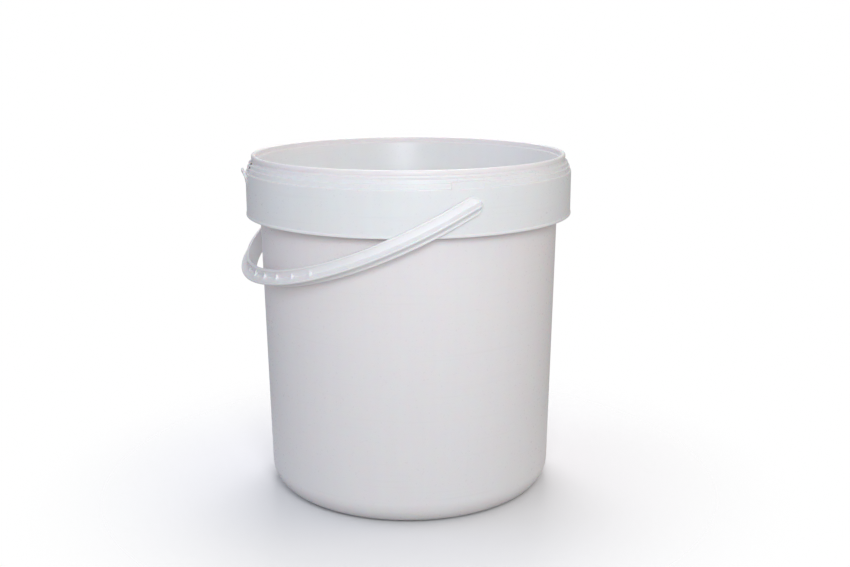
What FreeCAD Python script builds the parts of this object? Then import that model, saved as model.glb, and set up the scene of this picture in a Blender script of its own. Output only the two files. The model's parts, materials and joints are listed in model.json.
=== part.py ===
import FreeCAD, Part
import math
import os

from FreeCAD import Placement, Rotation, Vector

# A sixteen litre white polypropylene pail with a snap-in bail handle, in millimetres.
# +Z is up and the pail stands on Z = 0, with its axis on Z. The bail turns on the X axis
# direction and hangs towards -Y, where it rests against the body.

# Driving dimensions: the pail
PAIL_HEIGHT = 300.0
COLLAR_R = 142.6            # the skirt that hangs round the mouth, outside
COLLAR_TOP = 285.5
COLLAR_BOTTOM = 247.5
COLLAR_LIP = 0.45           # how far the lip at the skirt's lower edge stands out
COLLAR_LIP_HEIGHT = 1.8
BODY_R_BASE = 126.1         # the tapered body's outside, carried down to Z = 0
TAPER = 0.02                # radius gained per millimetre of height
FLARE_Z = 258.0             # above here, behind the collar, the body widens faster
FLARE = 0.07                # the further radius that it then gains per millimetre
WALL = 1.7
COLLAR_WALL = 1.6
BASE_CORNER_R = 22.0
FOOT_R = 97.0               # inner edge of the ring that the pail stands on
FOOT_RISE = 1.5             # how far the middle of the base stands above that ring
BASE_WALL = 2.3
GATE_R = 8.0                # the dished spot in the middle of the base where the plastic came in
GATE_RISE = 0.8
SHOULDER_Z = 294.6          # the small inner step below the rim

# Driving dimensions: the neck's seal steps, from the collar up to the rim
STEP_LOW_R = 141.1
STEP_LOW_TOP = 289.8
STEP_HIGH_R = 139.7
STEP_HIGH_TOP = 293.0
NECK_R = 136.4
RIM_R = 137.3
RIM_INNER_R = 133.7
RIM_DEPTH = 4.0
STEP_FLOOR = 1.3            # thickness of the neck's steps, measured up and down
SEAL_DRAFT = 0.2            # how much narrower each seal step is at its top
SEAL_RISE = 0.5             # how far each seal step starts above the one below

# Driving dimensions: what the collar carries
PIVOT_Z = 271.9
EYE_R = 4.05
EYE_BOSS_R = 8.5
EYE_BOSS_DEPTH = 1.6
EYE_RIB_Y = 13.0
EYE_RIB_BOTTOM = 258.0
RIB_WALL = 1.4
HOUSING_R = 142.0
HOUSING_HALF_ANGLE = 4.3
LUG_ANGLE = 2.3
GUSSETS = 12
GUSSET_DROP = 11.0
TAB_ANGLE = -99.0           # from +X, anticlockwise seen from above
TAB_HALF_ANGLE = 5.0
TAB_ROOT = 266.0
TAB_TOP = 288.0
SLIT_ANGLE = 0.5
TAB_LIP = 3.6               # how far the finger lip stands out from the collar

# Driving dimensions: the bail
BAIL_R = 145.6              # outside of the strap, half way between the two pivots
BAIL_STRAIGHT = 11.0        # straight stretch from each pivot to the half circle
STRAP_WALL = 2.0
STRAP_WIDTH = 15.7
EDGE_BEAD = 0.5
EDGE_BEAD_WIDTH = 1.3
RIB_HEIGHT = 9.0
RIB_THICKNESS = 1.8
HANG_ANGLE = 26.4           # how far below level the bail's plane hangs at rest
STUD_R = 4.0
STUD_HEAD_R = 5.2
STUD_TIP_R = 3.4
STUD_HEAD = 0.8
STUD_NOSE = 1.6
STUD_PLAY = 0.5             # room between the eye's boss and the stud's head
WEB_PITCH = 21.0
WEBS_PER_SIDE = 10
WEB_THICKNESS = 1.2
WEB_LEG = 4.2

# How deep one feature runs into another, so that the two become one solid
ROOT = 0.5
SMALL_ROOT = 0.3


def flat(x, z):
    """A point of an outline in the XZ plane, where sections are drawn."""
    return Vector(x, 0, z)


def rounded_face(corners):
    """A face in the XZ plane from corners (x, z, radius), with an arc where a radius isn't 0."""
    edges = []
    ends = []
    count = len(corners)
    for i, (x, z, radius) in enumerate(corners):
        corner = flat(x, z)
        back = flat(*corners[i - 1][:2]) - corner
        ahead = flat(*corners[(i + 1) % count][:2]) - corner
        back.normalize()
        ahead.normalize()
        if radius == 0:
            ends.append((corner, None, corner))
            continue
        half = back.getAngle(ahead) / 2
        reach = radius / math.tan(half)
        middle = (back + ahead).normalize()
        crown = corner + middle * (radius / math.sin(half) - radius)
        ends.append((corner + back * reach, crown, corner + ahead * reach))
    for i, (start, crown, end) in enumerate(ends):
        if crown is not None:
            edges.append(Part.Arc(start, crown, end).toShape())
        following = ends[(i + 1) % count][0]
        edges.append(Part.LineSegment(end, following).toShape())
    return Part.Face(Part.Wire(edges))


def sector(corners, middle, half_angle):
    """A section in the XZ plane turned about Z, through half_angle each side of middle, in degrees."""
    solid = rounded_face(corners).revolve(Vector(), Vector(0, 0, 1), 2 * half_angle)
    solid.rotate(Vector(), Vector(0, 0, 1), middle - half_angle)
    return solid


def block_section(inner, outer, bottom, top):
    """The corners of a plain upright block's section."""
    return [(inner, bottom, 0), (outer, bottom, 0), (outer, top, 0), (inner, top, 0)]


def body_r(z):
    """The tapered body's outer radius at height z."""
    return BODY_R_BASE + TAPER * z + FLARE * max(0, z - FLARE_Z)


def shell():
    """Body, base, collar, seal steps and rim as one even wall, turned about the pail's axis."""
    channel_top = STEP_HIGH_TOP - STEP_FLOOR
    low_floor = STEP_LOW_TOP - STEP_FLOOR
    collar_ceiling = COLLAR_TOP - COLLAR_WALL
    collar_inner = COLLAR_R - COLLAR_WALL
    lip_r = COLLAR_R + COLLAR_LIP
    floor = FOOT_RISE + BASE_WALL
    corners = [
        # underside, from the gate's dish out to the ring that the pail stands on
        (0, FOOT_RISE + GATE_RISE, 0),
        (GATE_R - 1.0, FOOT_RISE + GATE_RISE, 0.8),
        (GATE_R, FOOT_RISE, 0.8),
        (FOOT_R - 3.0, FOOT_RISE, 1.5),
        (FOOT_R, 0, 0.8),
        (BODY_R_BASE, 0, BASE_CORNER_R),
        # up the outside of the body into the channel, and down the inside of the collar
        (body_r(FLARE_Z), FLARE_Z, 8.0),
        (body_r(channel_top), channel_top, 0.8),
        (STEP_HIGH_R - WALL, channel_top, 0.6),
        (STEP_HIGH_R - WALL, low_floor, 0.4),
        (STEP_LOW_R - WALL, low_floor, 0.6),
        (STEP_LOW_R - WALL, collar_ceiling, 0.4),
        (collar_inner, collar_ceiling, 0.7),
        (collar_inner, COLLAR_BOTTOM, 0.4),
        # the collar's lip and outside, then the seal steps, the neck and the rim bead
        (lip_r, COLLAR_BOTTOM, 0.7),
        (lip_r, COLLAR_BOTTOM + COLLAR_LIP_HEIGHT, 0.5),
        (COLLAR_R, COLLAR_BOTTOM + COLLAR_LIP_HEIGHT + 0.8, 0.5),
        (COLLAR_R, COLLAR_TOP, 0.8),
        (STEP_LOW_R + SEAL_DRAFT, COLLAR_TOP + SEAL_RISE, 0.3),
        (STEP_LOW_R, STEP_LOW_TOP, 0.6),
        (STEP_HIGH_R + SEAL_DRAFT, STEP_LOW_TOP + SEAL_RISE, 0.3),
        (STEP_HIGH_R, STEP_HIGH_TOP, 0.6),
        (NECK_R, STEP_HIGH_TOP + 1.4, 0.4),
        (NECK_R, PAIL_HEIGHT - RIM_DEPTH, 0.3),
        (RIM_R, PAIL_HEIGHT - RIM_DEPTH + 0.5, 0.3),
        (RIM_R, PAIL_HEIGHT, 1.6),
        # down the inside, over the shoulder, to the floor and the gate's raised spot
        (RIM_INNER_R, PAIL_HEIGHT, 1.5),
        (RIM_INNER_R, SHOULDER_Z + 1.0, 0.6),
        (body_r(SHOULDER_Z) - WALL, SHOULDER_Z, 0.6),
        (body_r(FLARE_Z) - WALL, FLARE_Z, 8.0),
        (body_r(BASE_WALL) - WALL, BASE_WALL, BASE_CORNER_R - WALL),
        (FOOT_R + 1.5, BASE_WALL, 1.5),
        (FOOT_R - 1.5, floor, 1.5),
        (GATE_R + 1.5, floor, 0.8),
        (GATE_R + 0.5, floor + GATE_RISE, 0.8),
        (0, floor + GATE_RISE, 0),
    ]
    return rounded_face(corners).revolve(Vector(), Vector(0, 0, 1), 360)


def eye_housing(side):
    """The flush block above a pivot that fills the seal steps, with an upright lug at each end."""
    middle = 0 if side > 0 else 180
    foot = COLLAR_TOP - 0.9
    into_low = STEP_LOW_R - WALL / 2
    into_high = STEP_HIGH_R - WALL / 2
    root = [(into_high, STEP_LOW_TOP - 0.6, 0), (into_low, STEP_LOW_TOP - 0.6, 0), (into_low, foot, 0)]
    block = root + [
        (HOUSING_R, foot, 0),
        (HOUSING_R, STEP_HIGH_TOP - 2.2, 0.5),
        (into_high, STEP_HIGH_TOP - 0.8, 0),
    ]
    lug = root + [
        (COLLAR_R, foot, 0),
        (COLLAR_R, STEP_HIGH_TOP - 3.2, 0.8),
        (into_high, STEP_HIGH_TOP - 1.1, 0),
    ]
    parts = [sector(block, middle, HOUSING_HALF_ANGLE + LUG_ANGLE / 2)]
    for end in (-1, 1):
        centre = middle + end * (HOUSING_HALF_ANGLE + LUG_ANGLE / 2)
        parts.append(sector(lug, centre, LUG_ANGLE / 2))
    return parts


def eye_boss(side):
    """The thickened ring round a pivot hole, and the two ribs that tie it to the body."""
    inner = COLLAR_R - COLLAR_WALL
    start = Vector(side * (inner - EYE_BOSS_DEPTH), 0, PIVOT_Z)
    parts = [Part.makeCylinder(EYE_BOSS_R, EYE_BOSS_DEPTH + 0.9, start, Vector(side, 0, 0))]
    section = [
        (body_r(EYE_RIB_BOTTOM) - WALL / 2, EYE_RIB_BOTTOM + 4.0, 0),
        (inner + ROOT, EYE_RIB_BOTTOM, 0),
        (inner + ROOT, COLLAR_TOP - 1.0, 0),
        (body_r(COLLAR_TOP) - WALL / 2, COLLAR_TOP - 1.0, 0),
    ]
    for end in (-1, 1):
        turn = math.degrees(math.asin(EYE_RIB_Y / COLLAR_R)) * end
        half = math.degrees(RIB_WALL / 2 / COLLAR_R)
        parts.append(sector(section, turn + (0 if side > 0 else 180), half))
    return parts


def gussets():
    """Short ribs in the top of the channel between body and collar."""
    inner = COLLAR_R - COLLAR_WALL
    top = COLLAR_TOP - 1.0
    section = [
        (body_r(top - GUSSET_DROP) - WALL / 2, top - GUSSET_DROP, 0),
        (inner + ROOT, top - GUSSET_DROP / 3, 0),
        (inner + ROOT, top, 0),
        (body_r(top) - WALL / 2, top, 0),
    ]
    half = math.degrees(RIB_WALL / 2 / COLLAR_R)
    step = 360 / GUSSETS
    return [sector(section, step * (i + 0.5), half) for i in range(GUSSETS)]


def tab_cuts():
    """The two slits beside the release tab, and the notch that parts its top from the neck."""
    slit = block_section(STEP_HIGH_R - 0.3, COLLAR_R + 3.0, TAB_ROOT, STEP_HIGH_TOP - 1.0)
    tab_inner = COLLAR_R - COLLAR_WALL + 0.2
    notch = block_section(NECK_R + 0.2, tab_inner, COLLAR_TOP - 5.0, STEP_HIGH_TOP + 2.0)
    cuts = [sector(notch, TAB_ANGLE, TAB_HALF_ANGLE + SLIT_ANGLE / 2)]
    for end in (-1, 1):
        cuts.append(sector(slit, TAB_ANGLE + end * (TAB_HALF_ANGLE + SLIT_ANGLE / 2), SLIT_ANGLE / 2))
    return cuts


def tab_lip():
    """The finger lip that flares outwards up the release tab."""
    inner = COLLAR_R - COLLAR_WALL + 0.4
    foot = COLLAR_TOP - 12.0
    lip_r = COLLAR_R + TAB_LIP
    section = [
        (inner, foot, 0),
        (COLLAR_R - SMALL_ROOT, foot, 0),
        (COLLAR_R + TAB_LIP / 3, foot + 8.0, 12.0),
        (lip_r, TAB_TOP - 1.6, 0.6),
        (lip_r - 0.2, TAB_TOP, 0.6),
        (lip_r - 1.8, TAB_TOP, 0.5),
        (inner + 1.0, TAB_TOP - 5.0, 4.0),
        (inner, foot + 6.0, 0),
    ]
    return sector(section, TAB_ANGLE, TAB_HALF_ANGLE)


def pail():
    """The whole pail moulding."""
    additions = gussets()
    cuts = tab_cuts()
    for side in (-1, 1):
        additions += eye_housing(side) + eye_boss(side)
        start = Vector(side * (COLLAR_R - 6.0), 0, PIVOT_Z)
        cuts.append(Part.makeCylinder(EYE_R, 12.0, start, Vector(side, 0, 0)))
    return shell().fuse(additions).cut(cuts).fuse(tab_lip()).removeSplitter()


def bail_section():
    """The bail's T section, across the strap, on the plane where the half circle starts."""
    half = STRAP_WIDTH / 2
    rib = RIB_THICKNESS / 2
    bead = half - EDGE_BEAD_WIDTH
    outer = [
        (BAIL_R - STRAP_WALL, -half, 0.5),
        (BAIL_R + EDGE_BEAD, -half, 0.5),
        (BAIL_R + EDGE_BEAD, -bead, 0.3),
        (BAIL_R, -bead + 0.5, 0.4),
        (BAIL_R, -rib, 0.7),
        (BAIL_R + RIB_HEIGHT, -rib, 0.6),
    ]
    mirrored = [(a, -b, radius) for a, b, radius in reversed(outer)]
    return rounded_face(outer + mirrored)


def bail_end(side):
    """The round end of the strap, the rib's run-out over it, and the snap-in stud."""
    half = STRAP_WIDTH / 2
    outward = Vector(side, 0, 0)
    inner = BAIL_R - STRAP_WALL
    disc = Part.makeCylinder(half, STRAP_WALL + EDGE_BEAD, Vector(side * inner, 0, 0), outward)
    edges = [edge for edge in disc.Edges if edge.Length > half and isinstance(edge.Curve, Part.Circle)]
    disc = disc.makeFillet(0.5, edges)
    dish = Part.makeCylinder(half - EDGE_BEAD_WIDTH, 2 * EDGE_BEAD, Vector(side * BAIL_R, 0, 0), outward)
    disc = disc.cut(dish)
    inward_half = Part.makeBox(4 * BAIL_R, half, STRAP_WIDTH, Vector(-2 * BAIL_R, 0, -half))
    disc = disc.common(inward_half)
    rib = RIB_THICKNESS / 2
    start = Vector(side * (BAIL_R + RIB_HEIGHT), 0, -rib)
    shoulder = Vector(side * (BAIL_R + 0.72 * RIB_HEIGHT), 0.68 * half, -rib)
    finish = Vector(side * (BAIL_R + SMALL_ROOT), half - 0.2, -rib)
    crest = Part.Arc(start, shoulder, finish).toShape()
    sole_r = side * (BAIL_R - ROOT)
    sole = Part.makePolygon([finish, Vector(sole_r, finish.y, -rib), Vector(sole_r, 0, -rib), start])
    run_out = Part.Face(Part.Wire([crest] + sole.Edges)).extrude(Vector(0, 0, RIB_THICKNESS))
    head_start = COLLAR_R - COLLAR_WALL - EYE_BOSS_DEPTH - STUD_PLAY
    nose_start = head_start - STUD_HEAD
    into_strap = inner + ROOT
    into_head = head_start - 0.1
    stud = Part.makeCylinder(STUD_R, into_strap - into_head, Vector(side * into_strap, 0, 0), -outward)
    head = Part.makeCylinder(STUD_HEAD_R, STUD_HEAD, Vector(side * head_start, 0, 0), -outward)
    nose = Part.makeCone(STUD_HEAD_R, STUD_TIP_R, STUD_NOSE, Vector(side * nose_start, 0, 0), -outward)
    return [disc, run_out, stud, head, nose]


def bail_webs():
    """Small corner webs between strap and rib along the grip, on both sides of the rib."""
    low = BAIL_R - SMALL_ROOT
    high = low + WEB_LEG
    root = RIB_THICKNESS / 2 - 0.2
    tip = root + WEB_LEG
    webs = []
    half = math.degrees(WEB_THICKNESS / 2 / BAIL_R)
    for i in range(WEBS_PER_SIDE):
        along = (i - (WEBS_PER_SIDE - 1) / 2) * WEB_PITCH
        for side in (-1, 1):
            web = rounded_face([(low, side * root, 0), (high, side * root, 0), (low, side * tip, 0)])
            web = web.revolve(Vector(), Vector(0, 0, 1), 2 * half)
            web.rotate(Vector(), Vector(0, 0, 1), -90 + math.degrees(along / BAIL_R) - half)
            web.translate(Vector(0, -BAIL_STRAIGHT, 0))
            webs.append(web)
    return webs


def bail_arch(section):
    """The half circle of the bail, on the -Y side of the pivots."""
    arch = section.copy()
    arch.translate(Vector(0, -BAIL_STRAIGHT, 0))
    return arch.revolve(Vector(0, -BAIL_STRAIGHT, 0), Vector(0, 0, -1), 180)


def bail_handle():
    """The bail in its own level plane, then turned down about the pivots and lifted to them."""
    section = bail_section()
    pieces = [bail_arch(section)]
    for side in (-1, 1):
        face = section.copy() if side > 0 else section.mirror(Vector(), Vector(1, 0, 0))
        pieces.append(face.extrude(Vector(0, -BAIL_STRAIGHT, 0)))
        pieces += bail_end(side)
    pieces += bail_webs()
    solid = pieces[0].fuse(pieces[1:]).removeSplitter()
    solid.Placement = Placement(Vector(0, 0, PIVOT_Z), Rotation(Vector(1, 0, 0), HANG_ANGLE))
    return solid


def save(name, shape):
    """Write one sub-part, after making sure that it is one sound solid."""
    if not shape.isValid() or len(shape.Solids) != 1:
        raise ValueError(f"{name}: valid {shape.isValid()}, solids {len(shape.Solids)}")
    box = shape.BoundBox
    print(f"{name}: {shape.Volume / 1000:.1f} cm3, X {box.XMin:.2f}..{box.XMax:.2f},"
          f" Y {box.YMin:.2f}..{box.YMax:.2f}, Z {box.ZMin:.2f}..{box.ZMax:.2f}")
    shape.exportStep(os.path.join("parts", name + ".step"))


os.makedirs("parts", exist_ok=True)
save("pail", pail())
save("bail_handle", bail_handle())
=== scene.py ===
import json
import math

import bmesh
import bpy
from bpy.props import FloatProperty, FloatVectorProperty, IntProperty, PointerProperty
from mathutils import Matrix, Vector


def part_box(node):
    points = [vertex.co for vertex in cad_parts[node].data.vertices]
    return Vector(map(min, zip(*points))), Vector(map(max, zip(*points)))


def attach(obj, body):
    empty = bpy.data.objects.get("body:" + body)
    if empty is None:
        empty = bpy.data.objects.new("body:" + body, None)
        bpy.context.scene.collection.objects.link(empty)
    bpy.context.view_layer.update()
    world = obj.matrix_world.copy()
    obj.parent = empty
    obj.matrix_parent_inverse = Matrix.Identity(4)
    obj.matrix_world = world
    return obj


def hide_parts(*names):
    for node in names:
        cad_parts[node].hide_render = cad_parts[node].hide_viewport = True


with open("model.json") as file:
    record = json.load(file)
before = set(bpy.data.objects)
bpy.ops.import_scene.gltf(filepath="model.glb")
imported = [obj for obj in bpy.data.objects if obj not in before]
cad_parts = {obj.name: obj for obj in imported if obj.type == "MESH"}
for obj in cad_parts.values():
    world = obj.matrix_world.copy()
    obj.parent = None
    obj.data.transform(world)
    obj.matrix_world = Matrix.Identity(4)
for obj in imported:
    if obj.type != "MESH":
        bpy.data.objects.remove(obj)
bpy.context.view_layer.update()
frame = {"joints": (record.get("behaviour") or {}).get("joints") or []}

bl_info = {
    "name": "Florist Bucket",
    "version": (1, 0, 0),
    "blender": (4, 5, 0),
    "location": "View3D > Sidebar > Bucket",
    "description": "Builds a white polypropylene florist bucket with its moulded bail handle",
    "category": "Object",
}

MM = 0.001
HINGE = frame["joints"][0]
PIVOT_Z = HINGE["pos_m"][2]
PAIL_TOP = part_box("pail")[1].z


# ---------------------------------------------------------------- colours, nodes and geometry trees

def linear(hex_colour):
    """A hex sRGB colour as linear red, green, blue and alpha."""
    parts = [int(hex_colour[i:i + 2], 16) / 255 for i in (1, 3, 5)]
    return [c / 12.92 if c <= 0.04045 else ((c + 0.055) / 1.055) ** 2.4 for c in parts] + [1.0]


def add_node(tree, kind, inputs=None, **settings):
    """Adds a node to a tree, with its settings, and gives its inputs values or links."""
    node = tree.nodes.new(kind)
    for name, value in settings.items():
        setattr(node, name, value)
    for name, value in (inputs or {}).items():
        if isinstance(value, bpy.types.NodeSocket):
            tree.links.new(value, node.inputs[name])
        else:
            node.inputs[name].default_value = value
    return node


def new_tree(name, inputs):
    """An empty geometry tree with named inputs, and the node that they come out of."""
    tree = bpy.data.node_groups.new(name, "GeometryNodeTree")
    tree.interface.new_socket("Geometry", in_out="INPUT", socket_type="NodeSocketGeometry")
    for label, kind in inputs.items():
        tree.interface.new_socket(label, in_out="INPUT", socket_type="NodeSocket" + kind)
    tree.interface.new_socket("Material", in_out="INPUT", socket_type="NodeSocketMaterial")
    tree.interface.new_socket("Geometry", in_out="OUTPUT", socket_type="NodeSocketGeometry")
    return tree, add_node(tree, "NodeGroupInput").outputs


def close_tree(tree, geometry, material):
    """Makes instances real, gives them their material and hands them out of the tree."""
    real = add_node(tree, "GeometryNodeRealizeInstances", {"Geometry": geometry})
    painted = add_node(tree, "GeometryNodeSetMaterial",
                       {"Geometry": real.outputs["Geometry"], "Material": material})
    add_node(tree, "NodeGroupOutput", {"Geometry": painted.outputs["Geometry"]})
    return tree


def settle(obj, modifier):
    """Turns an object and its one modifier into a plain mesh."""
    depsgraph = bpy.context.evaluated_depsgraph_get()
    mesh = bpy.data.meshes.new_from_object(obj.evaluated_get(depsgraph), depsgraph=depsgraph)
    obj.modifiers.remove(modifier)
    obj.data = mesh


def grow(obj, tree, **values):
    """Runs a geometry tree on an object, with values for the tree's named inputs."""
    modifier = obj.modifiers.new(tree.name, "NODES")
    modifier.node_group = tree
    sockets = {item.name: item.identifier for item in tree.interface.items_tree if item.in_out == "INPUT"}
    for name, value in values.items():
        modifier[sockets[name]] = value
    settle(obj, modifier)


# ---------------------------------------------------------------- sizes and colours

def length(name, description, millimetres):
    """A size that a user may change, in metres with a default given in millimetres."""
    return FloatProperty(name=name, description=description, default=millimetres * MM, min=0.0,
                         unit="LENGTH", precision=4)


def colour(name, description, hex_colour):
    """A colour that a user may change."""
    return FloatVectorProperty(name=name, description=description, default=linear(hex_colour)[:3],
                               size=3, min=0.0, max=1.0, subtype="COLOR")


class PailSizes(bpy.types.PropertyGroup):
    """Sizes of the pail moulding"""
    height: FloatProperty(name="Height", description="From the foot ring to the top of the rim",
                          default=PAIL_TOP, min=0.0, unit="LENGTH", precision=4)
    collar_radius: length("Collar radius", "Outside of the skirt round the mouth", 142.6)
    collar_top: length("Collar top", "Height of the collar's upper edge", 285.5)
    collar_bottom: length("Collar bottom", "Height of the collar's lower edge", 247.5)
    base_radius: length("Base radius", "The tapered body's outside, carried down to the floor", 126.1)
    corner_radius: length("Base corner", "Rounding between the body and the base", 22.0)
    wall: length("Wall", "Thickness of the body's wall", 1.7)
    taper: FloatProperty(name="Taper", description="Radius gained per metre of height", default=0.02)
    gussets: IntProperty(name="Gussets", description="Short ribs between the body and the collar",
                         default=12, min=3)
    columns: IntProperty(name="Columns", description="Faces round the pail", default=256, min=32)


class BailSizes(bpy.types.PropertyGroup):
    """Sizes of the bail moulding"""
    radius: length("Radius", "Outside of the strap, half way between the pivots", 145.6)
    straight: length("Straight", "Straight stretch from each pivot to the half circle", 11.0)
    strap_wall: length("Strap wall", "Thickness of the strap", 2.0)
    strap_width: length("Strap width", "Width of the strap across its beads", 15.7)
    rib_height: length("Rib height", "How far the middle rib stands out from the strap", 9.0)
    rib_thickness: length("Rib thickness", "Thickness of the middle rib", 1.8)
    web_pitch: length("Web pitch", "From one pair of corner webs to the next", 21.0)
    web_rows: IntProperty(name="Web pairs", description="Pairs of corner webs along the grip",
                          default=10, min=0)
    hang_angle: FloatProperty(name="Hang angle", description="How far below level the bail rests",
                              default=math.radians(26.4), subtype="ANGLE")


class FinishColours(bpy.types.PropertyGroup):
    """Colours of the plastic and of the studio"""
    pail: colour("Pail", "The pail's white", "#F1F0F0")
    bail: colour("Bail", "The bail's white", "#F3F2F2")
    scuff: colour("Scuffs", "Rubbed plastic at the foot ring and other high spots", "#D5D4D2")
    floor: colour("Floor", "The card that the bucket stands on", "#F8F8F8")


# ---------------------------------------------------------------- the plastic

def polypropylene(name, white, scuff, roughness, wave, grain):
    """Injection-moulded white polypropylene: a milky satin white that lets a little light in.

    wave is the depth of the slow swells, and grain scales the finer marks of moulding and wear.
    """
    material = bpy.data.materials.new(name)
    material.use_nodes = True
    tree = material.node_tree
    tree.nodes.clear()
    place = add_node(tree, "ShaderNodeTexCoord").outputs["Object"]

    # A thin wall shrinks unevenly as it cools: slow swells about 70 mm from crest to crest
    swell = add_node(tree, "ShaderNodeTexNoise",
                     {"Vector": place, "Scale": 1 / (70 * MM), "Detail": 1.0, "Roughness": 0.4})
    # The mould's polish leaves an orange peel of under 1 mm, drawn at 2 mm so that it shows
    peel = add_node(tree, "ShaderNodeTexNoise",
                    {"Vector": place, "Scale": 1 / (2 * MM), "Detail": 2.0, "Roughness": 0.5})
    # Plastic flows up from the gate, which leaves faint upright streaks some 6 mm apart
    upright = add_node(tree, "ShaderNodeMapping", {"Vector": place, "Scale": (1.0, 1.0, 0.06)})
    streak = add_node(tree, "ShaderNodeTexNoise",
                      {"Vector": upright.outputs["Vector"], "Scale": 1 / (6 * MM), "Detail": 2.0})
    # Nested buckets rub each other: level streaks 2 mm high and some 80 mm long, few and faint
    level = add_node(tree, "ShaderNodeMapping", {"Vector": place, "Scale": (0.025, 0.025, 1.0)})
    rub = add_node(tree, "ShaderNodeTexNoise",
                   {"Vector": level.outputs["Vector"], "Scale": 1 / (2 * MM), "Detail": 1.0})
    rubbed = add_node(tree, "ShaderNodeMapRange",
                      {"Value": rub.outputs["Fac"], "From Min": 0.6, "From Max": 0.95})

    height = add_node(tree, "ShaderNodeSeparateXYZ", {"Vector": place})
    foot = add_node(tree, "ShaderNodeMapRange",
                    {"Value": height.outputs["Z"], "From Min": 0.4 * MM, "From Max": 5 * MM,
                     "To Min": 1.0, "To Max": 0.0})
    worn_foot = add_node(tree, "ShaderNodeMath", {0: foot.outputs["Result"], 1: peel.outputs["Fac"]},
                         operation="MULTIPLY")
    wear = add_node(tree, "ShaderNodeMath",
                    {0: rubbed.outputs["Result"], 1: 0.16 * grain, 2: worn_foot.outputs["Value"]},
                    operation="MULTIPLY_ADD", use_clamp=True)
    cool = [c * (1 - 0.025 * grain) for c in white]
    body = add_node(tree, "ShaderNodeMix",
                    {0: streak.outputs["Fac"], 6: (*white, 1.0), 7: (*cool, 1.0)}, data_type="RGBA")
    surface = add_node(tree, "ShaderNodeMix",
                       {0: wear.outputs["Value"], 6: body.outputs[2], 7: (*scuff, 1.0)}, data_type="RGBA")

    gloss = add_node(tree, "ShaderNodeMapRange",
                     {"Value": peel.outputs["Fac"], "From Min": 0.3, "From Max": 0.7,
                      "To Min": roughness - 0.03 * grain, "To Max": roughness + 0.03 * grain})
    dulled = add_node(tree, "ShaderNodeMath",
                      {0: wear.outputs["Value"], 1: 0.3, 2: gloss.outputs["Result"]},
                      operation="MULTIPLY_ADD")
    swell_bump = add_node(tree, "ShaderNodeBump", {"Height": swell.outputs["Fac"], "Distance": wave})
    streak_bump = add_node(tree, "ShaderNodeBump",
                           {"Height": streak.outputs["Fac"], "Distance": 0.02 * MM * grain,
                            "Normal": swell_bump.outputs["Normal"]})
    peel_bump = add_node(tree, "ShaderNodeBump",
                         {"Height": peel.outputs["Fac"], "Distance": 0.004 * MM * grain,
                          "Normal": streak_bump.outputs["Normal"]})
    shader = add_node(tree, "ShaderNodeBsdfPrincipled",
                      {"Base Color": surface.outputs[2], "Roughness": dulled.outputs["Value"],
                       "Normal": peel_bump.outputs["Normal"], "IOR": 1.49,
                       "Subsurface Weight": 0.25, "Subsurface Scale": 4 * MM})
    add_node(tree, "ShaderNodeOutputMaterial", {"Surface": shader.outputs["BSDF"]})
    return material


# ---------------------------------------------------------------- outlines and solids

ARC_STEP = math.radians(16)


def outline(corners, closed=True):
    """Points along corners (x, z, radius), each turned into an arc where its radius isn't 0."""
    points = []
    for i, (x, z, radius) in enumerate(corners):
        here = Vector((x, z))
        if radius == 0 or (not closed and i in (0, len(corners) - 1)):
            points.append(here)
            continue
        back = (Vector(corners[i - 1][:2]) - here).normalized()
        ahead = (Vector(corners[(i + 1) % len(corners)][:2]) - here).normalized()
        half = back.angle(ahead) / 2
        centre = here + (back + ahead).normalized() * radius / math.sin(half)
        spoke = here + back * radius / math.tan(half) - centre
        sweep = math.copysign(math.pi - 2 * half, ahead.cross(back))
        steps = math.ceil(abs(sweep) / ARC_STEP) + 1
        for k in range(steps + 1):
            points.append(centre + Matrix.Rotation(sweep * k / steps, 2) @ spoke)
    return points


def new_piece(name, verts, edges, faces):
    """A mesh object in the scene, from points in metres."""
    mesh = bpy.data.meshes.new(name)
    mesh.from_pydata(verts, edges, faces)
    obj = bpy.data.objects.new(name, mesh)
    bpy.context.scene.collection.objects.link(obj)
    return obj


def wire(name, points, place, closed):
    """A line through the points, each put in space by place(point)."""
    count = len(points)
    edges = [(i, (i + 1) % count) for i in range(count if closed else count - 1)]
    return new_piece(name, [place(p) for p in points], edges, [])


def skin(name, rings):
    """A closed solid through rings of points, with a flat cap on the first and the last."""
    count = len(rings[0])
    verts = [p for ring in rings for p in ring]
    faces = [list(range(count)), list(range(len(verts) - count, len(verts)))]
    for r in range(len(rings) - 1):
        for i in range(count):
            a, b = r * count + i, r * count + (i + 1) % count
            faces.append((a, b, b + count, a + count))
    obj = new_piece(name, verts, [], faces)
    turn_outward(obj)
    return obj


def turn_outward(obj):
    """Merges doubled points and makes every face point outwards."""
    shape = bmesh.new()
    shape.from_mesh(obj.data)
    bmesh.ops.remove_doubles(shape, verts=shape.verts, dist=0.001 * MM)
    bmesh.ops.recalc_face_normals(shape, faces=shape.faces)
    shape.to_mesh(obj.data)
    shape.free()


def sector(name, corners, middle, half_angle, columns=8):
    """A section turned about Z through half_angle each side of middle, in radians."""
    rings = []
    for k in range(columns + 1):
        turn = middle + half_angle * (2 * k / columns - 1)
        rings.append([(p.x * math.cos(turn), p.x * math.sin(turn), p.y) for p in outline(corners)])
    return skin(name, rings)


def turned_along_x(name, steps, centre_z, columns=48):
    """A round solid about a line along X, from steps (x, radius)."""
    rings = []
    for x, radius in steps:
        angles = [2 * math.pi * k / columns for k in range(columns)]
        rings.append([(x, radius * math.cos(a), centre_z + radius * math.sin(a)) for a in angles])
    return skin(name, rings)


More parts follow.
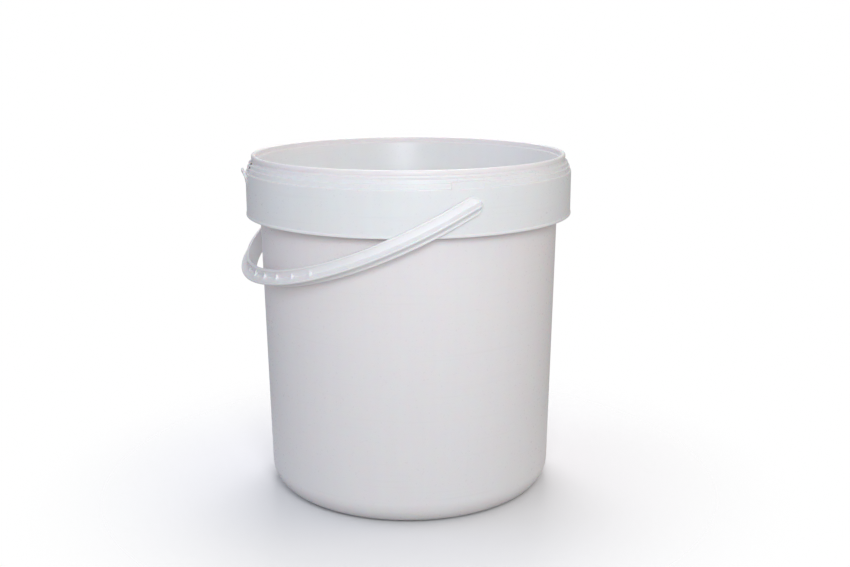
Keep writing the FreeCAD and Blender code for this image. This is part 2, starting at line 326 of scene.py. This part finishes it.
def combine(obj, tools, operation):
    """Joins closed solids to an object, or cuts them out of it, and deletes them."""
    group = bpy.data.collections.new("tools")
    for tool in tools:
        group.objects.link(tool)
    modifier = obj.modifiers.new(operation, "BOOLEAN")
    modifier.operation = operation
    modifier.solver = "EXACT"
    modifier.operand_type = "COLLECTION"
    modifier.collection = group
    settle(obj, modifier)
    for tool in tools:
        bpy.data.objects.remove(tool)
    bpy.data.collections.remove(group)


SHARP = math.radians(38)


def finish_surface(obj):
    """Smooth shading that keeps real edges crisp and broad faces flat."""
    obj.data.shade_smooth()
    obj.data.set_sharp_from_angle(angle=SHARP)
    modifier = obj.modifiers.new("broad faces lead", "WEIGHTED_NORMAL")
    modifier.keep_sharp = True
    modifier.weight = 90
    settle(obj, modifier)


# ---------------------------------------------------------------- the pail

SEAM = 0.5 * MM          # how deep one feature runs into another
FOOT_R = 97 * MM         # inner edge of the ring that the pail stands on
FOOT_RISE = 1.5 * MM     # how far the middle of the base stands above that ring
FLARE_Z = 258 * MM       # above here, behind the collar, the body widens faster
FLARE = 0.07             # the further radius that it then gains per unit of height
LOW_STEP_IN = 1.5 * MM   # how far the two seal steps and the neck stand in from the collar
HIGH_STEP_IN = 2.9 * MM
NECK_IN = 6.2 * MM
LOW_STEP_UP = 4.3 * MM   # top of each seal step, above the collar's upper edge
HIGH_STEP_UP = 7.5 * MM
STEP_FLOOR = 1.3 * MM    # thickness of the plastic on top of each step
RIM_DEPTH = 4 * MM       # from the top of the rim bead to its lower edge
RIM_OUT = 0.9 * MM       # how far the rim bead stands out from the neck, and in from it
RIM_IN = 2.7 * MM
SHOULDER = 5.4 * MM      # the small inner step, below the top of the rim
COLLAR_LIP = 0.45 * MM   # the lip round the collar's lower edge
COLLAR_LIP_HIGH = 1.8 * MM
BASE_WALL = 2.3 * MM
GATE_R = 8 * MM          # the dished spot in the middle of the base where the plastic came in
GATE_RISE = 0.8 * MM
BEND_R = 8 * MM          # rounding where the body begins to widen


def body_radius(pail, z):
    """The tapered body's outer radius at a height."""
    return pail.base_radius + pail.taper * z + FLARE * max(0, z - FLARE_Z)


def pail_section(pail):
    """Half of the pail cut through its axis, from the middle of the underside round to the floor."""
    wall = pail.wall
    collar_wall = wall - 0.1 * MM
    top = pail.collar_top
    low_r, low_top = pail.collar_radius - LOW_STEP_IN, top + LOW_STEP_UP
    high_r, high_top = pail.collar_radius - HIGH_STEP_IN, top + HIGH_STEP_UP
    neck_r = pail.collar_radius - NECK_IN
    rim_r, rim_inner = neck_r + RIM_OUT, neck_r - RIM_IN
    shoulder = pail.height - SHOULDER
    channel_top = high_top - STEP_FLOOR
    inside = pail.collar_radius - collar_wall
    lip_r = pail.collar_radius + COLLAR_LIP
    lip_top = pail.collar_bottom + COLLAR_LIP_HIGH
    floor = FOOT_RISE + BASE_WALL
    fine, soft, round_ = 0.3 * MM, 0.6 * MM, 1.5 * MM
    return [
        # underside: the gate's dish, the raised middle and the ring that the pail stands on
        (0, FOOT_RISE + GATE_RISE, 0),
        (GATE_R - 1 * MM, FOOT_RISE + GATE_RISE, 0.8 * MM),
        (GATE_R, FOOT_RISE, 0.8 * MM),
        (FOOT_R - 3 * MM, FOOT_RISE, round_),
        (FOOT_R, 0, 0.8 * MM),
        (pail.base_radius, 0, pail.corner_radius),
        # up the body into the channel behind the collar, and down the collar's inside
        (body_radius(pail, FLARE_Z), FLARE_Z, BEND_R),
        (body_radius(pail, channel_top), channel_top, 0.8 * MM),
        (high_r - wall, channel_top, soft),
        (high_r - wall, low_top - STEP_FLOOR, 0.4 * MM),
        (low_r - wall, low_top - STEP_FLOOR, soft),
        (low_r - wall, top - collar_wall, 0.4 * MM),
        (inside, top - collar_wall, 0.7 * MM),
        (inside, pail.collar_bottom, 0.4 * MM),
        # the collar's lip and outside, the two seal steps, the neck and the rim bead
        (lip_r, pail.collar_bottom, 0.7 * MM),
        (lip_r, lip_top, 0.5 * MM),
        (pail.collar_radius, lip_top + 0.8 * MM, 0.5 * MM),
        (pail.collar_radius, top, 0.8 * MM),
        (low_r + 0.2 * MM, top + 0.5 * MM, fine),
        (low_r, low_top, soft),
        (high_r + 0.2 * MM, low_top + 0.5 * MM, fine),
        (high_r, high_top, soft),
        (neck_r, high_top + 1.4 * MM, 0.4 * MM),
        (neck_r, pail.height - RIM_DEPTH, fine),
        (rim_r, pail.height - 3.5 * MM, fine),
        (rim_r, pail.height, 1.6 * MM),
        # over the rim, down the inside and in to the middle of the floor
        (rim_inner, pail.height, round_),
        (rim_inner, shoulder + 1 * MM, soft),
        (body_radius(pail, shoulder) - wall, shoulder, soft),
        (body_radius(pail, FLARE_Z) - wall, FLARE_Z, BEND_R),
        (body_radius(pail, BASE_WALL) - wall, BASE_WALL, pail.corner_radius - wall),
        (FOOT_R + 1.5 * MM, BASE_WALL, round_),
        (FOOT_R - 1.5 * MM, floor, round_),
        (GATE_R + 1.5 * MM, floor, 0.8 * MM),
        (GATE_R + 0.5 * MM, floor + GATE_RISE, 0.8 * MM),
        (0, floor + GATE_RISE, 0),
    ]


SWEEP_R = 100 * MM       # radius of the circle that carries a section round; any size will do


def revolve_tree():
    """Carries a section, drawn in the XZ plane, once round the Z axis."""
    tree, given = new_tree("Turned moulding", {"Columns": "Int"})
    section = add_node(tree, "GeometryNodeMeshToCurve", {"Mesh": given["Geometry"]})
    laid = add_node(tree, "GeometryNodeTransform",
                    {"Geometry": section.outputs["Curve"], "Translation": (-SWEEP_R, 0, 0),
                     "Rotation": (math.pi / 2, 0, 0)})
    circle = add_node(tree, "GeometryNodeCurvePrimitiveCircle",
                      {"Resolution": given["Columns"], "Radius": SWEEP_R})
    shell = add_node(tree, "GeometryNodeCurveToMesh",
                     {"Curve": circle.outputs["Curve"], "Profile Curve": laid.outputs["Geometry"]})
    closed = add_node(tree, "GeometryNodeMergeByDistance",
                      {"Geometry": shell.outputs["Mesh"], "Distance": 0.001 * MM})
    return close_tree(tree, closed.outputs["Geometry"], given["Material"])


def ring_tree():
    """Sets copies of one rib in an even ring about the Z axis."""
    tree, given = new_tree("Ring of ribs", {"Count": "Int"})
    centre = add_node(tree, "GeometryNodeMeshCircle", {"Vertices": given["Count"], "Radius": 0.0})
    index = add_node(tree, "GeometryNodeInputIndex")
    pitch = add_node(tree, "ShaderNodeMath", {0: 2 * math.pi, 1: given["Count"]}, operation="DIVIDE")
    middle = add_node(tree, "ShaderNodeMath", {0: index.outputs["Index"], 1: 0.5})
    angle = add_node(tree, "ShaderNodeMath", {0: middle.outputs[0], 1: pitch.outputs[0]},
                     operation="MULTIPLY")
    turn = add_node(tree, "ShaderNodeCombineXYZ", {"Z": angle.outputs[0]})
    ribs = add_node(tree, "GeometryNodeInstanceOnPoints",
                    {"Points": centre.outputs["Mesh"], "Instance": given["Geometry"],
                     "Rotation": turn.outputs["Vector"]})
    return close_tree(tree, ribs.outputs["Instances"], given["Material"])


RIB_WALL = 1.4 * MM
HOUSING_ANGLE = math.radians(4.3)
LUG_ANGLE = math.radians(2.3)
EYE_R = 4.05 * MM
BOSS_R = 8.5 * MM
BOSS_DEPTH = 1.6 * MM
BLOCK_IN = 0.6 * MM      # how far the block over each eye stands in from the collar
BLOCK_FOOT = 0.9 * MM    # how far the block and its lugs reach below the collar's upper edge
TIE_BOTTOM = 258 * MM    # foot of the two ribs beside each eye
TIE_AWAY = 13 * MM       # from the eye's middle to each of them


def collar_inside(pail):
    """The radius of the collar's inner face."""
    return pail.collar_radius - pail.wall + 0.1 * MM


def eye_pieces(pail, middle):
    """What surrounds one pivot: the flush block and its two lugs, the boss and the two tie ribs."""
    top = pail.collar_top
    side = math.cos(middle)
    into_low = pail.collar_radius - LOW_STEP_IN - pail.wall / 2
    into_high = pail.collar_radius - HIGH_STEP_IN - pail.wall / 2
    root = [(into_high, top + 3.7 * MM, 0), (into_low, top + 3.7 * MM, 0), (into_low, top - BLOCK_FOOT, 0)]
    face = pail.collar_radius - BLOCK_IN
    block = root + [(face, top - BLOCK_FOOT, 0), (face, top + 5.3 * MM, 0.5 * MM),
                    (into_high, top + 6.7 * MM, 0)]
    lug = root + [(pail.collar_radius, top - BLOCK_FOOT, 0),
                  (pail.collar_radius, top + 4.3 * MM, 0.8 * MM), (into_high, top + 6.4 * MM, 0)]
    reach = HOUSING_ANGLE + LUG_ANGLE / 2
    parts = [sector("block", block, middle, reach)]
    parts += [sector("lug", lug, middle + end * reach, LUG_ANGLE / 2) for end in (-1, 1)]
    inside = collar_inside(pail)
    ends = (side * (inside - BOSS_DEPTH), side * (inside + 0.9 * MM))
    parts.append(turned_along_x("boss", [(x, BOSS_R) for x in ends], PIVOT_Z))
    rib = [(body_radius(pail, TIE_BOTTOM) - pail.wall / 2, TIE_BOTTOM + 4 * MM, 0),
           (inside + SEAM, TIE_BOTTOM, 0),
           (inside + SEAM, top - 1 * MM, 0), (body_radius(pail, top) - pail.wall / 2, top - 1 * MM, 0)]
    half = RIB_WALL / 2 / pail.collar_radius
    away = math.asin(TIE_AWAY / pail.collar_radius)
    parts += [sector("tie_rib", rib, middle + end * away, half) for end in (-1, 1)]
    return parts


def gusset(pail):
    """One short rib in the top of the channel between the body and the collar, on the X axis."""
    top = pail.collar_top - 1 * MM
    drop = 11 * MM
    section = [(body_radius(pail, top - drop) - pail.wall / 2, top - drop, 0),
               (collar_inside(pail) + SEAM, top - drop / 3, 0),
               (collar_inside(pail) + SEAM, top, 0),
               (body_radius(pail, top) - pail.wall / 2, top, 0)]
    return sector("gussets", section, 0, RIB_WALL / 2 / pail.collar_radius)


TAB_MIDDLE = math.radians(-99)
TAB_HALF = math.radians(5)
TAB_ROOT = 266 * MM      # where the slits beside the release tab begin
TAB_LIP = 3.6 * MM       # how far its finger lip stands out from the collar
TAB_UP = 2.5 * MM        # how far the lip reaches above the collar's edge, and below it
TAB_DOWN = 12 * MM
SLIT = math.radians(0.5)


def block_corners(inner, outer, bottom, top):
    """The corners of a plain upright block's section."""
    return [(inner, bottom, 0), (outer, bottom, 0), (outer, top, 0), (inner, top, 0)]


def tab_cuts(pail):
    """The slits beside the release tab, and the notch that parts its top from the neck."""
    high_r, top = pail.collar_radius - HIGH_STEP_IN, pail.collar_top
    neck_r = pail.collar_radius - NECK_IN
    slit = block_corners(high_r - 0.3 * MM, pail.collar_radius + 3 * MM, TAB_ROOT, top + 6.5 * MM)
    notch = block_corners(neck_r + 0.2 * MM, collar_inside(pail) + 0.2 * MM, top - 5 * MM, top + 9.5 * MM)
    cuts = [sector("notch", notch, TAB_MIDDLE, TAB_HALF + SLIT / 2)]
    for end in (-1, 1):
        cuts.append(sector("slit", slit, TAB_MIDDLE + end * (TAB_HALF + SLIT / 2), SLIT / 2))
    return cuts


def tab_lip(pail):
    """The finger lip that flares outwards up the release tab."""
    inner = collar_inside(pail) + 0.4 * MM
    foot, top = pail.collar_top - TAB_DOWN, pail.collar_top + TAB_UP
    outer = pail.collar_radius + TAB_LIP
    section = [(inner, foot, 0), (pail.collar_radius - 0.3 * MM, foot, 0),
               (pail.collar_radius + TAB_LIP / 3, foot + 8 * MM, 12 * MM),
               (outer, top - 1.6 * MM, 0.6 * MM), (outer - 0.2 * MM, top, 0.6 * MM),
               (outer - 1.8 * MM, top, 0.5 * MM), (inner + 1 * MM, top - 5 * MM, 4 * MM),
               (inner, foot + 6 * MM, 0)]
    return sector("lip", section, TAB_MIDDLE, TAB_HALF, columns=12)


def build_pail(pail, material):
    """The pail as one closed moulding: the turned shell, what it carries, and its holes."""
    section = outline(pail_section(pail), closed=False)
    shell = wire("pail_moulding", section, lambda p: (p.x, 0, p.y), closed=False)
    grow(shell, revolve_tree(), Columns=pail.columns, Material=material)
    gussets = gusset(pail)
    grow(gussets, ring_tree(), Count=pail.gussets, Material=material)
    combine(shell, [gussets] + eye_pieces(pail, 0) + eye_pieces(pail, math.pi), "UNION")
    eyes = []
    for side in (-1, 1):
        ends = (side * (pail.collar_radius - 6 * MM), side * (pail.collar_radius + 6 * MM))
        eyes.append(turned_along_x("eye", [(x, EYE_R) for x in ends], PIVOT_Z, columns=64))
    combine(shell, tab_cuts(pail) + eyes, "DIFFERENCE")
    combine(shell, [tab_lip(pail)], "UNION")
    finish_surface(shell)
    return shell


# ---------------------------------------------------------------- the bail

BEAD = 0.5 * MM          # the bead along each edge of the strap
BEAD_WIDTH = 1.3 * MM
STUD_R = 4 * MM
STUD_HEAD_R = 5.2 * MM
STUD_TIP_R = 3.4 * MM
STUD_HEAD = 0.8 * MM     # from the head's shoulder to where its cone begins, and to its tip
STUD_NOSE = 2.4 * MM
STUD_PLAY = 0.5 * MM     # room between the eye's boss and the head


def strap_section(bail):
    """The bail's T section: a strap with a bead along each edge, and a rib down its middle."""
    half, rib = bail.strap_width / 2, bail.rib_thickness / 2
    bead = half - BEAD_WIDTH
    side = [
        (bail.radius - bail.strap_wall, -half, 0.5 * MM),
        (bail.radius + BEAD, -half, 0.5 * MM),
        (bail.radius + BEAD, -bead, 0.3 * MM),
        (bail.radius, -bead + 0.5 * MM, 0.4 * MM),
        (bail.radius, -rib, 0.7 * MM),
        (bail.radius + bail.rib_height, -rib, 0.6 * MM),
    ]
    return side + [(x, -z, radius) for x, z, radius in reversed(side)]


def arch_points(bail, steps=180):
    """The bail's path from pivot to pivot: two short straights and the half circle between them."""
    r, drop = SWEEP_R, -bail.straight
    bow = [math.pi * (1 + k / steps) for k in range(steps + 1)]
    past = SEAM / 2      # the strap runs this far past the pivots, into its round ends
    return [(-r, past)] + [(r * math.cos(a), drop + r * math.sin(a)) for a in bow] + [(r, past)]


def arch_tree():
    """Carries the bail's section along its path, and sets corner webs along the grip."""
    tree, given = new_tree("Bail strap with webs", {
        "Section": "Object", "Web": "Object", "Pitch": "Float", "Rows": "Int",
        "Strap radius": "Float", "Straight": "Float"})
    section = add_node(tree, "GeometryNodeObjectInfo", {"Object": given["Section"]})
    profile = add_node(tree, "GeometryNodeMeshToCurve", {"Mesh": section.outputs["Geometry"]})
    laid = add_node(tree, "GeometryNodeTransform",
                    {"Geometry": profile.outputs["Curve"], "Translation": (-SWEEP_R, 0, 0),
                     "Rotation": (math.pi / 2, 0, 0)})
    path = add_node(tree, "GeometryNodeMeshToCurve", {"Mesh": given["Geometry"]})
    strap = add_node(tree, "GeometryNodeCurveToMesh",
                     {"Curve": path.outputs["Curve"], "Profile Curve": laid.outputs["Geometry"],
                      "Fill Caps": True})
    places = add_node(tree, "GeometryNodeMeshLine", {"Count": given["Rows"], "Offset": (0, 0, 0)})
    index = add_node(tree, "GeometryNodeInputIndex")
    last = add_node(tree, "ShaderNodeMath", {0: given["Rows"], 1: 1.0}, operation="SUBTRACT")
    half = add_node(tree, "ShaderNodeMath", {0: last.outputs[0], 1: 0.5}, operation="MULTIPLY")
    row = add_node(tree, "ShaderNodeMath", {0: index.outputs["Index"], 1: half.outputs[0]},
                   operation="SUBTRACT")
    step = add_node(tree, "ShaderNodeMath", {0: given["Pitch"], 1: given["Strap radius"]},
                    operation="DIVIDE")
    angle = add_node(tree, "ShaderNodeMath", {0: row.outputs[0], 1: step.outputs[0]},
                     operation="MULTIPLY")
    turn = add_node(tree, "ShaderNodeCombineXYZ", {"Z": angle.outputs[0]})
    web = add_node(tree, "GeometryNodeObjectInfo", {"Object": given["Web"]})
    webs = add_node(tree, "GeometryNodeInstanceOnPoints",
                    {"Points": places.outputs["Mesh"], "Instance": web.outputs["Geometry"],
                     "Rotation": turn.outputs["Vector"]})
    drop = add_node(tree, "ShaderNodeMath", {0: given["Straight"], 1: -1.0}, operation="MULTIPLY")
    shift = add_node(tree, "ShaderNodeCombineXYZ", {"Y": drop.outputs[0]})
    moved = add_node(tree, "GeometryNodeTransform",
                     {"Geometry": webs.outputs["Instances"], "Translation": shift.outputs["Vector"]})
    real = add_node(tree, "GeometryNodeRealizeInstances", {"Geometry": moved.outputs["Geometry"]})
    whole = add_node(tree, "GeometryNodeMeshBoolean",
                     {"Mesh 2": strap.outputs["Mesh"]}, operation="UNION", solver="EXACT")
    tree.links.new(real.outputs["Geometry"], whole.inputs["Mesh 2"])
    return close_tree(tree, whole.outputs["Mesh"], given["Material"])


WEB_LEG = 4.2 * MM
WEB_THICKNESS = 1.2 * MM


def web_pair(bail):
    """A corner web on each side of the rib, at the middle of the bail."""
    low = bail.radius - 0.3 * MM
    root = bail.rib_thickness / 2 - 0.2 * MM
    webs = []
    for side in (-1, 1):
        corners = [(low, side * root, 0), (low + WEB_LEG, side * root, 0),
                   (low, side * (root + WEB_LEG), 0)]
        webs.append(sector("web", corners, -math.pi / 2, WEB_THICKNESS / 2 / bail.radius, columns=1))
    return webs


def run_out(bail, side):
    """The rib's rounded end, over the middle of the round end of the strap."""
    half, rib = bail.strap_width / 2, bail.rib_thickness / 2
    tip = (bail.radius + 0.3 * MM, half - 0.2 * MM)
    crest = []
    steps = 12
    for k in range(steps + 1):
        turn = math.pi / 2 * k / steps
        stand = (bail.rib_height - 0.3 * MM) * math.cos(turn) ** 0.9
        crest.append((tip[0] + stand, tip[1] * math.sin(turn)))
    sole = [(bail.radius - 0.5 * MM, tip[1]), (bail.radius - 0.5 * MM, 0)]
    rings = [[(side * x, y, z) for x, y in crest + sole] for z in (-rib, rib)]
    return skin("run_out", rings)


def strap_end(bail, side):
    """The half round end of the strap with its edge bead, on the far side of a pivot."""
    half = bail.strap_width / 2
    columns = 24
    inner, outer = bail.radius - bail.strap_wall, bail.radius + BEAD
    bead = half - BEAD_WIDTH
    section = outline([(0, inner, 0), (half, inner, 0.5 * MM), (half, outer, 0.5 * MM),
                       (bead, outer, 0.3 * MM), (bead - 0.1 * MM, bail.radius, 0.4 * MM),
                       (0, bail.radius, 0)])
    rings = []
    for k in range(columns + 1):
        turn = math.pi * (k / columns - 0.5)
        rings.append([(side * p.y, p.x * math.cos(turn), p.x * math.sin(turn)) for p in section])
    return skin("strap_end", rings)


def stud(bail, side, inside):
    """The snap-in stud: shank, head and cone-shaped nose."""
    head = inside - BOSS_DEPTH - STUD_PLAY
    steps = [(bail.radius - bail.strap_wall + SEAM, STUD_R), (head, STUD_R), (head, STUD_HEAD_R),
             (head - STUD_HEAD, STUD_HEAD_R), (head - STUD_NOSE, STUD_TIP_R)]
    return turned_along_x("stud", [(side * x, radius) for x, radius in steps], 0)


def join(objects):
    """Several mesh objects as one."""
    whole = bmesh.new()
    for obj in objects:
        whole.from_mesh(obj.data)
    first = objects[0]
    whole.to_mesh(first.data)
    whole.free()
    for obj in objects[1:]:
        bpy.data.objects.remove(obj)
    return first


def build_bail(bail, pail, material):
    """The bail as one closed moulding, level at first, then turned down about the pivots to its rest."""
    strap = wire("bail_moulding", arch_points(bail), lambda p: (p[0], p[1], 0), closed=False)
    section = wire("section", outline(strap_section(bail)), lambda p: (p.x, 0, p.y), closed=True)
    pair = join(web_pair(bail))
    grow(strap, arch_tree(), **{"Section": section, "Web": pair, "Pitch": bail.web_pitch,
                                "Rows": bail.web_rows, "Strap radius": bail.radius,
                                "Straight": bail.straight, "Material": material})
    for helper in (section, pair):
        bpy.data.objects.remove(helper)
    ends = []
    for side in (-1, 1):
        ends += [strap_end(bail, side), run_out(bail, side), stud(bail, side, collar_inside(pail))]
    combine(strap, ends, "UNION")
    hang = Matrix.Translation((0, 0, PIVOT_Z)) @ Matrix.Rotation(bail.hang_angle, 4, "X")
    strap.data.transform(hang)
    finish_surface(strap)
    return strap


# ---------------------------------------------------------------- the studio

def add_camera():
    """The product camera: a normal lens about 1 m away and above the rim, looking down at the bucket."""
    azimuth = math.radians(70.08)
    away = 0.9963
    height = 0.4069
    pan = math.radians(0.823)
    tilt = math.radians(12.8)
    roll = math.radians(-0.127)
    ahead = Vector((-math.sin(azimuth), math.cos(azimuth), 0))
    across = Vector((math.cos(azimuth), math.sin(azimuth), 0))
    up = Vector((0, 0, 1))
    right = across * math.cos(pan) - ahead * math.sin(pan)
    level = across * math.sin(pan) + ahead * math.cos(pan)
    forward = level * math.cos(tilt) - up * math.sin(tilt)
    crown = level * math.sin(tilt) + up * math.cos(tilt)
    side = right * math.cos(roll) + crown * math.sin(roll)
    top = crown * math.cos(roll) - right * math.sin(roll)
    camera = bpy.data.objects.new("product_camera", bpy.data.cameras.new("product_camera"))
    camera.data.sensor_width = 36.0
    camera.data.lens = 47.83
    turn = Matrix((side, top, -forward)).transposed().to_4x4()
    camera.matrix_world = Matrix.Translation(-ahead * away + up * height) @ turn
    bpy.context.scene.collection.objects.link(camera)
    bpy.context.scene.camera = camera


def add_area_light(name, azimuth, elevation, away, size, power, colour):
    """A soft box that faces the middle of the bucket."""
    light = bpy.data.lights.new(name, "AREA")
    light.shape = "RECTANGLE"
    light.size, light.size_y = size
    light.energy = power
    light.color = linear(colour)[:3]
    a, e = math.radians(azimuth), math.radians(elevation)
    back = Vector((math.sin(a) * math.cos(e), -math.cos(a) * math.cos(e), math.sin(e)))
    lamp = bpy.data.objects.new(name, light)
    lamp.location = Vector((0, 0, 0.15)) + back * away
    lamp.rotation_euler = back.to_track_quat("Z", "Y").to_euler()
    bpy.context.scene.collection.objects.link(lamp)


def backdrop_card(white):
    """Matt white card that fades out into the white of the studio some way from the bucket."""
    material = bpy.data.materials.new("Matt white card")
    material.use_nodes = True
    tree = material.node_tree
    tree.nodes.clear()
    place = add_node(tree, "ShaderNodeTexCoord").outputs["Object"]
    reach = add_node(tree, "ShaderNodeVectorMath", {0: place}, operation="LENGTH")
    fade = add_node(tree, "ShaderNodeMapRange",
                    {"Value": reach.outputs["Value"], "From Min": 0.12, "From Max": 0.36},
                    interpolation_type="SMOOTHSTEP")
    # The card looks white but throws little light back, as a card on a dark table does
    seen = add_node(tree, "ShaderNodeLightPath").outputs["Is Camera Ray"]
    tone = add_node(tree, "ShaderNodeMix",
                    {0: seen, 6: linear("#C6C6C6"), 7: (*white, 1.0)}, data_type="RGBA")
    card = add_node(tree, "ShaderNodeBsdfDiffuse", {"Color": tone.outputs[2]})
    clear = add_node(tree, "ShaderNodeBsdfTransparent")
    mix = add_node(tree, "ShaderNodeMixShader",
                   {0: fade.outputs["Result"], 1: card.outputs["BSDF"], 2: clear.outputs["BSDF"]})
    add_node(tree, "ShaderNodeOutputMaterial", {"Surface": mix.outputs["Shader"]})
    return material


def studio_world():
    """Soft grey light from all round, seen as plain white behind the bucket."""
    world = bpy.data.worlds.new("studio")
    world.use_nodes = True
    tree = world.node_tree
    tree.nodes.clear()
    seen = add_node(tree, "ShaderNodeLightPath").outputs["Is Camera Ray"]
    light = add_node(tree, "ShaderNodeBackground", {"Color": linear("#FCFDFF"), "Strength": 0.39})
    white = add_node(tree, "ShaderNodeBackground", {"Color": linear("#FFFFFF"), "Strength": 1.0})
    mix = add_node(tree, "ShaderNodeMixShader",
                   {0: seen, 1: light.outputs["Background"], 2: white.outputs["Background"]})
    add_node(tree, "ShaderNodeOutputWorld", {"Surface": mix.outputs["Shader"]})
    return world


# ---------------------------------------------------------------- operators and panel

def hand_over(obj, node, body):
    """Puts a finished piece on its body, in place of the plain CAD node."""
    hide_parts(node)
    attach(obj, body)


class BUCKET_OT_pail(bpy.types.Operator):
    """Builds the pail: shell, collar, seal steps, pivot housings, gussets and release tab"""
    bl_idname = "bucket.pail"
    bl_label = "Pail"

    def execute(self, context):
        colours = context.scene.bucket_colours
        plastic = polypropylene("Polypropylene moulded pail", colours.pail, colours.scuff,
                                roughness=0.30, wave=0.25 * MM, grain=1.0)
        pail = build_pail(context.scene.bucket_pail, plastic)
        hand_over(pail, "pail", "pail")
        return {"FINISHED"}


class BUCKET_OT_bail(bpy.types.Operator):
    """Builds the bail: strap, rib, corner webs, round ends and snap-in studs"""
    bl_idname = "bucket.bail"
    bl_label = "Bail handle"

    def execute(self, context):
        colours = context.scene.bucket_colours
        plastic = polypropylene("Polypropylene moulded bail", colours.bail, colours.scuff,
                                roughness=0.28, wave=0.08 * MM, grain=0.2)
        bail = build_bail(context.scene.bucket_bail, context.scene.bucket_pail, plastic)
        hand_over(bail, "bail_handle", "bail")
        return {"FINISHED"}


class BUCKET_OT_stage(bpy.types.Operator):
    """Adds the pale floor, the soft studio lights and the camera"""
    bl_idname = "bucket.stage"
    bl_label = "Stage"

    def execute(self, context):
        half = 3.0
        corners = [(-half, -half, 0), (half, -half, 0), (half, half, 0), (-half, half, 0)]
        floor = new_piece("floor", corners, [], [(0, 1, 2, 3)])
        floor.data.materials.append(backdrop_card(context.scene.bucket_colours.floor))
        context.scene.world = studio_world()
        add_area_light("key_softbox", 75, 23, 0.95, (0.3, 0.3), 3.8, "#F7F9FF")
        add_area_light("rear_softbox", 250, 50, 1.1, (0.6, 0.6), 6.6, "#FDFBFF")
        add_area_light("top_softbox", 70, 90, 1.6, (1.2, 1.2), 1.7, "#FBFAFF")
        add_area_light("left_softbox", -20, 20, 1.5, (0.8, 1.2), 3.0, "#CCD8FF")
        add_area_light("right_softbox", 160, 20, 1.5, (0.8, 1.2), 2.4, "#FFE4C8")
        add_camera()
        context.scene.view_settings.view_transform = "Standard"
        return {"FINISHED"}


class BUCKET_PT_panel(bpy.types.Panel):
    """Lists what can be built, with its sizes and colours"""
    bl_idname = "BUCKET_PT_panel"
    bl_label = "Florist bucket"
    bl_space_type = "VIEW_3D"
    bl_region_type = "UI"
    bl_category = "Bucket"

    def draw(self, context):
        for maker in MAKERS:
            self.layout.operator(maker.bl_idname)
        for settings in (context.scene.bucket_pail, context.scene.bucket_bail, context.scene.bucket_colours):
            box = self.layout.box()
            for name in settings.__annotations__:
                box.prop(settings, name)


MAKERS = (BUCKET_OT_pail, BUCKET_OT_bail, BUCKET_OT_stage)
CLASSES = (PailSizes, BailSizes, FinishColours) + MAKERS + (BUCKET_PT_panel,)


def register():
    for cls in CLASSES:
        bpy.utils.register_class(cls)
    bpy.types.Scene.bucket_pail = PointerProperty(type=PailSizes)
    bpy.types.Scene.bucket_bail = PointerProperty(type=BailSizes)
    bpy.types.Scene.bucket_colours = PointerProperty(type=FinishColours)


def unregister():
    for name in ("bucket_pail", "bucket_bail", "bucket_colours"):
        delattr(bpy.types.Scene, name)
    for cls in reversed(CLASSES):
        bpy.utils.unregister_class(cls)


def main():
    register()
    bpy.ops.bucket.pail()
    bpy.ops.bucket.bail()
    bpy.ops.bucket.stage()


if __name__ == "__main__":
    main()
